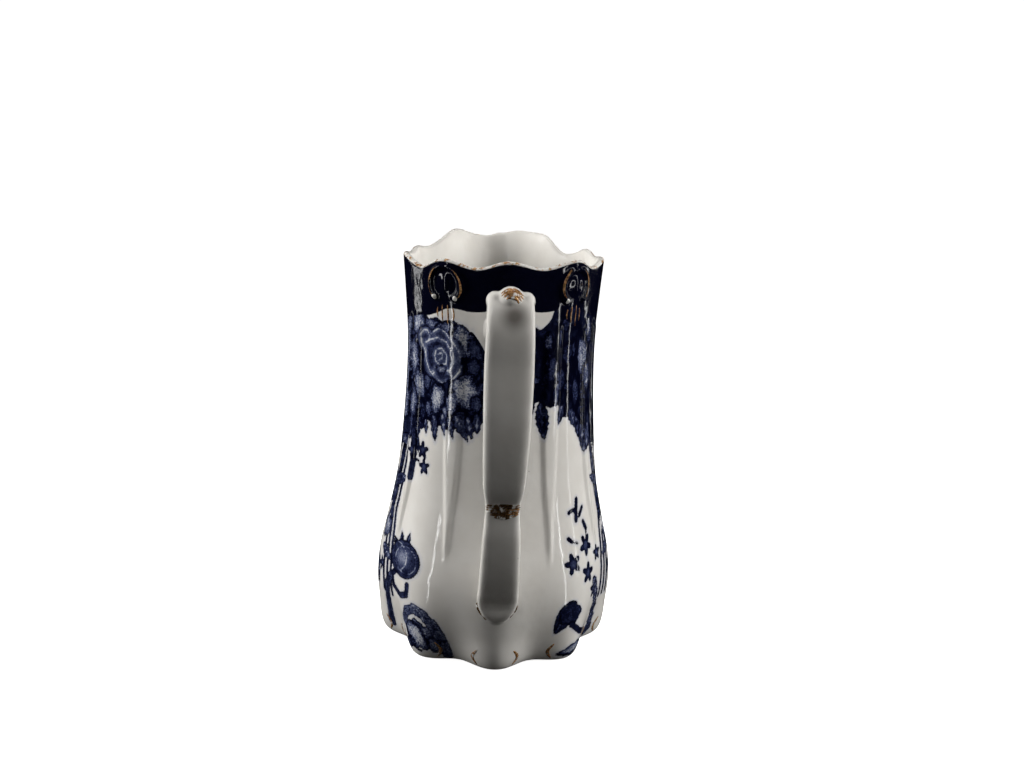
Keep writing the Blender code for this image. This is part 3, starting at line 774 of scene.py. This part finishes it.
def paint_print(angle, height):
    """Every field of the print for these points of the outside."""
    p = Print(wrapped(angle - PRINT_TURN), height)
    wavy_top = [(a, 103.8 + 0.9 * math.sin(a * 0.31)) for a in range(-180, 181, 12)]
    wavy_bottom = [(a, 71.0 + 1.6 * math.sin(a * 0.23)) for a in range(-180, 181, 12)]
    p.ground(wavy_top, wavy_bottom, -181, -92, 0.10)
    p.ground(wavy_top, wavy_bottom, 92, 181, 0.08)
    paint_front(p)
    paint_side(p, -1)
    paint_side(p, 1)
    for paint in (paint_left, paint_right, paint_foot_left, paint_foot_right):
        paint(p)
    return p


# ---- body
def body_rows():
    """(radius, height, lobe share, detail share) of every row, foot centre to inside floor."""
    rows = [(radius, FOOT_RECESS, 0, 0) for radius in (0.4, 13.0, 24.5)]
    for t in np.radians((20, 50, 80)):
        rows.append((25.4 + 1.9 * math.sin(t), FOOT_RECESS * (0.08 + 0.92 * math.cos(t)), 0, 0))
    rows.append((FOOT_RING_INNER + 0.5, 0.0, 0, 0))
    rows.append((SILHOUETTE[0][1] - FOOT_EDGE - 0.4, 0.0, 0.95, 0))
    for t in np.radians((20, 45, 70)):
        height = FOOT_EDGE * (1 - math.cos(t))
        rows.append((wall_radius(height) + FOOT_EDGE * (math.sin(t) - 1), height, 1, 1))
    half = RIM_WALL / 2
    low = np.arange(FOOT_EDGE, 60.0, 0.60)
    printed = np.arange(60.0, 104.0, 0.50)
    in_relief = np.linspace(104.0, RIM_HEIGHT - half, 38)
    rows += [(wall_radius(height), height, 1, 1) for height in np.concatenate([low, printed, in_relief])]
    for t in np.radians(range(20, 180, 20)):
        height = RIM_HEIGHT - half + half * math.sin(t)
        rows.append((wall_radius(height) - half * (1 - math.cos(t)), height, 1, 0.3))
    for height in np.concatenate([np.linspace(RIM_HEIGHT - half, 104, 9), np.linspace(100, 14, 17)]):
        wall = WALL + (RIM_WALL - WALL) * float(smooth(*WALL_THINS, height))
        rows.append((wall_radius(height) - wall, height, 1, 0))
    side = wall_radius(12.0) - WALL
    for turn in (15, 35, 55, 75, 90):
        t = math.radians(turn)
        height = FLOOR_CORNER - (FLOOR_CORNER - FLOOR_TOP) * math.sin(t)
        rows.append((FLOOR_REACH + (side - FLOOR_REACH) * math.cos(t), height, 1 - turn / 90, 0))
    rows += [(radius, FLOOR_TOP, 0, 0) for radius in (16.0, 7.0, 0.4)]
    return np.array(rows, float)


def make_body():
    """The slip-cast body as one fine closed skin, with its painted fields as attributes."""
    rows = body_rows()
    row_radius, row_height, lobes, detail = (rows[:, i : i + 1] for i in range(4))
    angle = wrapped(np.arange(COLUMNS) * 360.0 / COLUMNS)[None, :]
    radius, height = shaped(row_radius, row_height, angle, lobes, detail)
    height = np.where(row_height < FLOOR_TOP + 0.1, row_height, height)
    angle = np.broadcast_to(angle, radius.shape)
    points = to_xyz(radius, height, angle).reshape(-1, 3)
    body = new_object("jug_body_porcelain", points, tube_faces(len(rows), COLUMNS), printed_porcelain())
    outward(body)

    p = paint_print(angle, height)
    under_rim = scalloped(angle) - RIM_WALL / 2 - height
    band = np.minimum(height - through(BAND_EDGE, angle), under_rim + 0.25)
    # painted highlight: the cobalt band stops short of each loop's end beads, leaving them white like glints
    for corner in CORNERS:
        bead = loop_distance(wrapped(angle - corner) * MM_PER_DEGREE, height - LOOP_HEIGHT)[1]
        band = np.where(bead < 1.4, np.minimum(band, 2.6 * (bead - 0.78)), band)
    on_foot_ring = (row_height < 0.45) & (row_radius > 26.5)
    fields = {
        "ink": np.where(detail >= 1, p.ink, -FAR),
        "tone": p.tone,
        "edge": np.minimum(p.edge, 3.0),
        "line": np.minimum(p.line, 3.0),
        "stipple": p.stipple,
        "band": np.where(detail > 0, band, -FAR),
        "bare": np.broadcast_to(on_foot_ring, radius.shape),
    }
    for name, values in fields.items():
        attribute = body.data.attributes.new(name, "FLOAT", "POINT")
        attribute.data.foreach_set("value", values.reshape(-1).astype(np.float32))
    finished(body, "jug_body")


# ---- handle
STRAP_WIDTH, STRAP_THICKNESS = 12.4, 5.2
STRAP_FLATNESS = 0.50  # 1 makes the strap's section an ellipse, 0 a rectangle
HOLLOW_HEIGHT, HOLLOW_DEPTH = 108.6, 1.3  # under the thumb rest
# centre and radius in mm of the painted shade in the hollow under the thumb rest
PAINTED_SHADE_SPOT = ((0.8, AXIS_Y - 60.4, 109.9), 5.4)
THUMB_LUMPS = (
    ((0.0, -54.4, 112.9), (3.8, 4.7, 3.9)),
    ((-4.0, -53.6, 112.9), (2.4, 3.8, 2.5)),
    ((4.0, -53.6, 112.9), (2.4, 3.8, 2.5)),
)  # centre from the body axis, and radii
LOWER_JOINT, UPPER_JOINT = 23.5, 101.5
COLLAR_SPREAD, COLLAR_RISE = 1.6, 1.1
# reach from the body axis, height, width share, thickness share
HANDLE_PATH = (
    (25, 100, 0.80, 1.1), (33, 103.5, 0.86, 1.0), (41.5, 107.6, 0.93, 1.0), (49, 110.6, 0.97, 1.0),
    (55.8, 111.5, 0.97, 1.0), (58.8, 107.4, 0.99, 1.0), (58.9, 97, 1.03, 1.0), (58.6, 84, 1.01, 1.0),
    (56.4, 72.5, 0.96, 0.98), (53.2, 63.5, 0.90, 0.95), (50.6, 58.2, 0.78, 0.74), (49.8, 55, 0.77, 0.80),
    (48.6, 47.5, 0.84, 0.93), (45.2, 36.5, 0.90, 0.96), (41.4, 29, 0.93, 0.90), (39.3, 25.4, 0.95, 0.84),
    (38.3, 22.8, 0.90, 0.84), (37.9, 20.8, 0.76, 0.84), (37.3, 19.2, 0.52, 0.80), (36.2, 18, 0.20, 0.50),
)


def handle_stations(count):
    """Reach, height, width and thickness along a smooth curve through the handle's path."""
    path = np.array(HANDLE_PATH)
    gaps = np.hypot(*np.diff(path[:, :2], axis=0).T)
    run = np.concatenate([[0], np.cumsum(gaps)])
    where = np.linspace(0, run[-1], count)
    return [through(list(zip(run, path[:, i])), where) for i in range(4)]


def flattened(wave):
    """A sine or cosine pulled out towards the corners of the strap's section."""
    return np.sign(wave) * np.abs(wave) ** STRAP_FLATNESS


def make_handle(porcelain):
    """The strap with its hollow, fused with the three lumps of the thumb rest."""
    reach, height, width, thick = handle_stations(150)
    d_reach, d_height = np.gradient(reach), np.gradient(height)
    length = np.hypot(d_reach, d_height)
    corners = 40
    turn = 2 * np.pi * (np.arange(corners) + 0.5) / corners
    outer = flattened(np.sin(turn))
    x = flattened(np.cos(turn))[None, :] * (STRAP_WIDTH / 2 * width)[:, None]
    t = outer[None, :] * (STRAP_THICKNESS / 2 * thick)[:, None]
    r = reach[:, None] + t * (d_height / length)[:, None]
    z = height[:, None] - t * (d_reach / length)[:, None]
    hollow = np.exp(-((x / 3.6) ** 2) - ((z - HOLLOW_HEIGHT) / 3.0) ** 2)
    r = r - HOLLOW_DEPTH * hollow * (outer > 0) * (reach > 54)[:, None]
    points = np.stack([x, AXIS_Y - r, z], -1).reshape(-1, 3) * MM
    handle = new_object("strap_handle_porcelain", points, tube_faces(len(reach), corners), porcelain)

    work = bmesh.new()
    work.from_mesh(handle.data)
    for centre, radii in THUMB_LUMPS:
        ball = bmesh.ops.create_uvsphere(work, u_segments=20, v_segments=12, radius=1.0)
        for vertex in ball["verts"]:
            vertex.co = Vector([(c + v * r) * MM for c, v, r in zip(centre, vertex.co, radii)])
            vertex.co.y += AXIS_Y * MM
    bmesh.ops.recalc_face_normals(work, faces=work.faces)
    work.to_mesh(handle.data)
    work.free()
    remesh = handle.modifiers.new("Fuse", "REMESH")
    remesh.mode = "VOXEL"
    remesh.voxel_size = 0.38 * MM
    soften = handle.modifiers.new("Soften", "SMOOTH")
    soften.factor = 0.5
    soften.iterations = 9
    baked(handle)
    handle.data.shade_smooth()
    return finished(handle, "handle")


def round_joint(joint_height, away, direction):
    """Angle and height of the place this far along the wall from the middle of a joint."""
    angle = np.degrees(away * np.cos(direction) / wall_radius(joint_height))
    return angle, joint_height + away * np.sin(direction)


def edge_of(tree, joint_height, directions, clear):
    """How far along the wall one must go from a joint to leave the handle, in each direction."""
    found = []
    for direction in directions:
        for away in np.arange(1, 130) * 0.12:
            angle, height = round_joint(joint_height, away, direction)
            point = Vector(on_body(np.array(angle), np.array(height), clear))
            near, normal, _, _ = tree.find_nearest(point)
            if (point - near).dot(normal) > 0:
                break
        found.append(away)
    return np.array(found)


def make_collar(name, node, tree, joint_height, material):
    """Slip smoothed into the corner between the handle and the wall, as a hollow curve."""
    count = 72
    directions = np.arange(count) * 2 * np.pi / count
    low = edge_of(tree, joint_height, directions, 0.05)
    high = edge_of(tree, joint_height, directions, COLLAR_RISE)
    for _ in range(2):
        low, high = ((np.roll(edge, 1) + 2 * edge + np.roll(edge, -1)) / 4 for edge in (low, high))
    rows = [(low + COLLAR_SPREAD - 0.2, -0.5), (low - 0.6, -0.5)]
    for share in np.linspace(1, 0, 9):
        away = high - 0.35 + (low + COLLAR_SPREAD - high + 0.35) * share
        rows.insert(0, (away, COLLAR_RISE * (1 - share) ** 2.2 - 0.04 * share))
    points = [on_body(*round_joint(joint_height, away, directions), clear) for away, clear in rows]
    faces = tube_faces(len(rows), count, ring=True)
    finished(outward(new_object(name, np.concatenate(points), faces, material)), node)


# ---- gilding
BRUSH_SECTION = (
    (-1.0, -0.05), (-0.72, 0.6), (-0.3, 1.0), (0.3, 1.0), (0.72, 0.6), (1.0, -0.05), (0.5, -0.5),
    (-0.5, -0.5),
)
BRUSH_DEPTH = 0.12  # mm; the underside of a stroke lies half of this below the surface
# across, top and bottom of each stroke under a corner loop
TASSELS = ((-2.6, 106.4, 103.6), (-1.0, 107.0, 102.4), (0.8, 107.2, 101.4), (2.5, 106.6, 103.0))
# middle and half width of each pair of foot brackets, in degrees
FOOT_BRACKETS = ((0, 9), (45, 14), (83, 10), (120, 11), (180, 11), (-120, 11), (-83, 10), (-45, 14))
# y and half length of the strokes across the thumb rest
THUMB_STROKES = ((-58.5, 1.6), (-57.9, 2.3), (-57.2, 2.8), (-56.5, 2.9))
KNUCKLE_REACH, KNUCKLE_FOOT, KNUCKLE_PITCH = 50.2, 54.3, 0.7
KNUCKLE_SHARES = (0.80, 0.95, 1.05, 1.1, 1.1, 1.0)  # how far round each stroke of the knuckle goes


def brush_line(points, sides, ups, half_widths, rise):
    """Points of one domed brush stroke: a low loop of 8 at each station."""
    loops = []
    for across, up in BRUSH_SECTION:
        lift = up * (rise if up > 0 else BRUSH_DEPTH)
        loops.append(points + sides * (across * half_widths * MM)[:, None] + ups * lift * MM)
    return np.stack(loops, 1).reshape(-1, 3)


def stroke_on_body(angles, heights, half_widths, rise=0.10):
    """A brush stroke that lies on the body through these angles and heights."""
    along_a, along_h = np.gradient(angles) * MM_PER_DEGREE, np.gradient(heights)
    length = np.maximum(np.hypot(along_a, along_h), 1e-6)
    side_a, side_h = -along_h / length, along_a / length
    base, reach = on_body(angles, heights), 0.3
    sides = on_body(angles + side_a * reach / MM_PER_DEGREE, heights + side_h * reach) - base
    sides /= np.linalg.norm(sides, axis=1)[:, None]
    return brush_line(base, sides, radial(angles), half_widths, rise)


def strokes_object(name, node, strokes, material):
    """One piece from one or more strokes, each a closed shell of its own."""
    faces, first = [], 0
    for stroke in strokes:
        faces += tube_faces(len(stroke) // 8, 8, first)
        first += len(stroke)
    finished(outward(new_object(name, np.concatenate(strokes), faces, material)), node)


def swell(count, middle, ends=0.12):
    """Half widths of a stroke that is widest in the middle."""
    return ends + (middle - ends) * np.sin(np.pi * np.linspace(0, 1, count)) ** 0.7


def gild_rim(gold):
    """A line along the outer half of the rim's edge."""
    count = 480
    angles = np.linspace(-180, 180, count + 1)[:-1]
    rim = SILHOUETTE[-1][1]
    top = to_xyz(*shaped(rim - RIM_WALL * 0.45, RIM_HEIGHT, angles, detail=0.3), angles)
    outer = to_xyz(*shaped(rim - 0.12, RIM_HEIGHT - 0.55, angles, detail=0.3), angles)
    out, up = radial(angles), np.array([0, 0, 1])
    ups, sides = out * 0.64 + up * 0.77, out * 0.77 - up * 0.64
    line = brush_line(top * 0.45 + outer * 0.55, sides, ups, np.full(count, 0.55), 0.12)
    made = new_object("gilded_rim", line, tube_faces(count, 8, ring=True), gold)
    finished(outward(made), "gilded_rim_line")


def gild_corners(gold):
    """Two strokes along each relief loop, and the fringe of strokes under it."""
    sway = 1 + 0.12 * np.sin(np.linspace(0, 3, 9))
    for number, corner in enumerate(CORNERS, start=1):
        strokes, tassels = [], []
        for side in (-1, 1):
            turn = np.radians(np.linspace(LOOP_OPENING + 10, 150, 22)) * side
            angles = corner + (LOOP_RADIUS * np.sin(turn) + side * 0.25) / MM_PER_DEGREE
            heights = LOOP_HEIGHT - LOOP_RADIUS * np.cos(turn)
            strokes.append(stroke_on_body(angles, heights, swell(22, 0.36)))
        strokes_object(f"gilded_loop_relief_{number}", f"gilded_loop_{number}", strokes, gold)
        for across, top, bottom in TASSELS:
            angles = corner + across * sway / MM_PER_DEGREE
            tassels.append(stroke_on_body(angles, np.linspace(top, bottom, 9), swell(9, 0.24)))
        strokes_object(f"gilded_tassels_{number}", f"gilded_fringe_{number}", tassels, gold)


def gild_foot(gold):
    """A pair of curved brackets on each foot lobe."""
    t = np.linspace(0, 1, 15)
    for number, (lobe, half_width) in enumerate(FOOT_BRACKETS, start=1):
        for side, label in ((-1, "left"), (1, "right")):
            angles = lobe + side * (half_width + 2.4 * np.sin(np.pi * t) ** 1.2)
            stroke = stroke_on_body(angles, 1.4 + 5.4 * t, swell(15, 0.55))
            node = f"gilded_foot_scroll_{number}_{label}"
            strokes_object(f"gilded_foot_{number}_{label}", node, [stroke], gold)


def stroke_on_tree(tree, starts, directions, half_width):
    """A brush stroke on any surface, from where lines of sight that start at these mm meet it."""
    found = [tree.ray_cast(Vector(s) * MM, Vector(d)) for s, d in zip(starts, directions)]
    points, ups = (np.array([hit[i] for hit in found]) for i in (0, 1))
    sides = np.cross(ups, np.gradient(points, axis=0))
    sides /= np.maximum(np.linalg.norm(sides, axis=1), 1e-9)[:, None]
    return brush_line(points, sides, ups, swell(len(found), half_width), 0.10)


def knuckle_stroke(tree, height, angles, half_width):
    """A stroke round the outside of the knuckle between these angles."""
    out = radial(angles)
    starts = np.array([0, AXIS_Y - KNUCKLE_REACH, height]) + 30 * out
    return stroke_on_tree(tree, starts, -out, half_width)


def gild_handle(tree, gold, gold_painted_shade):
    """Gold on the thumb rest, round the knuckle and beside the tongue at the lower joint. The knuckle and
    tongue gold is darkened as painted shade, with a painted glint at the knuckle's end.
    """
    strokes = []
    for y, reach in THUMB_STROKES:
        starts = [(x + 0.3, AXIS_Y + y, 140) for x in np.linspace(-reach, reach, 15)]
        strokes.append(stroke_on_tree(tree, starts, [(0, 0, -1)] * 15, 0.62))
    strokes_object("gilded_thumb_rest_patch", "gilded_thumb_rest", strokes, gold)

    # knuckle groove: gilding in gold darkened to a third, painted shade and dark reflection
    strokes = []
    for i, share in enumerate(KNUCKLE_SHARES):
        height = KNUCKLE_FOOT + KNUCKLE_PITCH * i
        strokes.append(knuckle_stroke(tree, height, np.linspace(-70, 70, 25) * share, 0.8))
    strokes_object("gilded_knuckle_groove", "gilded_knuckle", strokes, gold_painted_shade)
    # painted glint: full-bright gold strokes over the knuckle's right end
    strokes = [knuckle_stroke(tree, height, np.linspace(40, 74, 9), 0.9) for height in (55.2, 55.9, 56.6)]
    strokes_object("gilded_knuckle_glint", "gilded_knuckle", strokes, gold)

    # tongue lines: gilding in the darkened gold, partly painted shade at the tongue's edge
    for label, first, last in (("left", -186, -118), ("right", 4, -52)):
        directions = np.radians(np.linspace(first, last, 15))
        away = edge_of(tree, LOWER_JOINT, directions, 0.4) + 0.75
        angles, heights = round_joint(LOWER_JOINT, away, directions)
        stroke = stroke_on_body(angles, heights, swell(15, 0.50), rise=0.85)
        strokes_object(f"gilded_tongue_{label}", f"gilded_handle_end_{label}", [stroke], gold_painted_shade)


# ---- stage, light, camera
FRONT_LIGHT, BACK_LIGHT = 0.004, 0.15  # strength of the world from the camera's side and the far side
FRONT_COLOUR, BACK_COLOUR = (1.0, 0.76, 0.60, 1.0), (1.0, 0.99, 0.965, 1.0)
LIGHT_AIM = (0, 0.01, 0.06)
FILL_COLOUR = (1.0, 0.985, 0.955)
# name, place, width, height and power; the narrow ones draw the lines in the gloss
FILLS = (
    ("left_fill", (-0.58, 0.11, 0.33), 0.36, 0.44, 4.7),
    ("right_fill", (0.56, -0.07, 0.33), 0.36, 0.44, 3.6),
)
STRIPS = (
    ("left_strip", (-0.34, -0.25, 0.17), 0.012, 0.80, 0.34),
    ("left_window", (-0.55, -0.10, 0.15), 0.10, 0.14, 0.30),
    ("right_strip", (0.38, -0.22, 0.17), 0.010, 0.80, 0.32),
    ("right_window", (0.55, -0.03, 0.20), 0.012, 0.60, 0.24),
    ("right_slit", (0.44, 0.30, 0.18), 0.010, 0.40, 0.07),
    ("left_slit", (-0.44, 0.30, 0.18), 0.010, 0.40, 0.05),
)
FLOOR_HALF_WIDTH, BACKDROP_RADIUS = 6.0, 5.5  # metres
CAMERA_DISTANCE, CAMERA_HEIGHT = 310.0, 147.2
CAMERA_AZIMUTH = -3.0  # degrees round from the handle
CAMERA_ASIDE = 3.9
CAMERA_PITCH, CAMERA_ROLL = 12.28, 2.1
SENSOR_WIDTH = 36.0
FOCAL_SHARE = 1016.0 / 1024  # of the picture's width


def glowing(name, size_mm, detail, dim, bright, strength):
    """Nodes of a material that shines by itself, with very faint blotches, and its colour."""
    nodes = Nodes(bpy.data.materials.new(name))
    colour = nodes.mix(nodes.noise(size_mm, detail), (dim, dim, dim, 1), (bright, bright, bright, 1))
    nodes.shade("Emission Color", colour)
    nodes.shade("Emission Strength", strength)
    return nodes, colour


def make_stage():
    """A pale floor and a white backdrop all round, which the jug's lighting doesn't depend on."""
    floor = bpy.data.meshes.new("floor")
    size = FLOOR_HALF_WIDTH
    corners = [(-size, -size, 0), (size, -size, 0), (size, size, 0), (-size, size, 0)]
    floor.from_pydata(corners, [], [(0, 1, 2, 3)])
    paper, colour = glowing("pale_paper", 40.0, 3.0, 0.90, 0.93, 1.0)
    paper.shade("Base Color", colour)
    paper.shade("Roughness", 0.9)
    floor.materials.append(paper.owner)

    shell = bmesh.new()
    bmesh.ops.create_uvsphere(shell, u_segments=48, v_segments=24, radius=BACKDROP_RADIUS)
    dome = bpy.data.meshes.new("backdrop")
    shell.to_mesh(dome)
    shell.free()
    glow, _ = glowing("white_backdrop", 900.0, 1.0, 0.99, 1.0, 1.05)
    glow.shade("Base Color", (0, 0, 0, 1))
    dome.materials.append(glow.owner)

    for name, mesh, drop, shadow in (("floor", floor, -0.0002, True), ("backdrop", dome, 0, False)):
        made = placed(name, mesh)
        made.location.z = drop
        made.visible_shadow = shadow
        made.visible_diffuse = made.visible_glossy = False


def area_light(name, place, width, height, power):
    light = bpy.data.lights.new(name, "AREA")
    light.shape = "RECTANGLE"
    light.size, light.size_y = width, height
    light.energy = power
    made = placed(name, light)
    made.location = place
    made.rotation_euler = (Vector(LIGHT_AIM) - Vector(place)).to_track_quat("-Z", "Y").to_euler()
    made.visible_camera = False
    return made


def make_light():
    """Soft light from behind, above and both sides, and little from behind the camera."""
    world = bpy.data.worlds.new("studio")
    bpy.context.scene.world = world
    nodes = Nodes(world, "Background")
    towards = nodes.add("SeparateXYZ", {0: nodes.add("TexCoord", {}, "Generated")}, "Y")
    nodes.shade("Strength", nodes.step(towards, -0.35, 0.35, FRONT_LIGHT, BACK_LIGHT))
    share = nodes.add("MapRange", {"Value": towards, "From Min": -0.5, "From Max": 0.2})
    nodes.shade("Color", nodes.mix(share, FRONT_COLOUR, BACK_COLOUR))
    world.cycles_visibility.glossy = False

    sun = bpy.data.lights.new("overhead", "SUN")
    sun.energy = 0.40
    sun.color = (1.0, 0.975, 0.94)
    sun.angle = math.radians(50)
    placed("overhead", sun).rotation_euler = (math.radians(-34), 0, 0)
    for row in FILLS:
        fill = area_light(*row)
        fill.data.color = FILL_COLOUR
        fill.visible_glossy = False
    for row in STRIPS:
        area_light(*row)


def make_camera():
    """A hand-held camera in front of the handle, tipped down and a little rolled."""
    turn = math.radians(CAMERA_AZIMUTH)
    right = Vector((math.cos(turn), math.sin(turn), 0))
    back = Vector((math.sin(turn), -math.cos(turn), 0))
    pitch, roll = math.radians(CAMERA_PITCH), math.radians(CAMERA_ROLL)
    forward = -back * math.cos(pitch) - Vector((0, 0, 1)) * math.sin(pitch)
    up = right.cross(forward)
    tilted_right = right * math.cos(roll) + up * math.sin(roll)
    tilted_up = up * math.cos(roll) - right * math.sin(roll)
    place = Vector((0, AXIS_Y * MM, 0)) + back * CAMERA_DISTANCE * MM + right * CAMERA_ASIDE * MM
    place.z = CAMERA_HEIGHT * MM
    camera = bpy.data.cameras.new("camera")
    camera.sensor_width = SENSOR_WIDTH
    camera.lens = SENSOR_WIDTH * FOCAL_SHARE
    camera.clip_start = 0.01
    made = placed("camera", camera)
    columns = Matrix((tilted_right, tilted_up, -forward)).transposed().to_4x4()
    made.matrix_world = Matrix.Translation(place) @ columns
    bpy.context.scene.camera = made


# ---- assembly
bpy.context.scene.view_settings.view_transform = "Standard"
make_camera()
make_light()
make_stage()

make_body()
white = plain_porcelain("glazed_porcelain")
# the handle's porcelain carries painted shade in the hollow under the thumb rest
handle = make_handle(plain_porcelain("porcelain_painted_shade", [PAINTED_SHADE_SPOT]))
handle.visible_glossy = False
bpy.context.view_layer.update()
handle_tree = BVHTree.FromObject(handle, bpy.context.evaluated_depsgraph_get())
make_collar("slip_collar_lower", "slip_joint_lower", handle_tree, LOWER_JOINT, white)
make_collar("slip_collar_upper", "slip_joint_upper", handle_tree, UPPER_JOINT, white)

gold_on_white = worn_gold("worn_gold_on_white", 0.25, PORCELAIN)
gild_rim(worn_gold("worn_gold_rim", 0.62, PORCELAIN))
gild_corners(worn_gold("worn_gold_on_blue", 0.2, NAVY))
gild_foot(gold_on_white)
# the darkened gold stands for painted shade on the knuckle and beside the tongue
gild_handle(handle_tree, gold_on_white, worn_gold("gold_painted_shade", 0.4, PORCELAIN, 0.34))
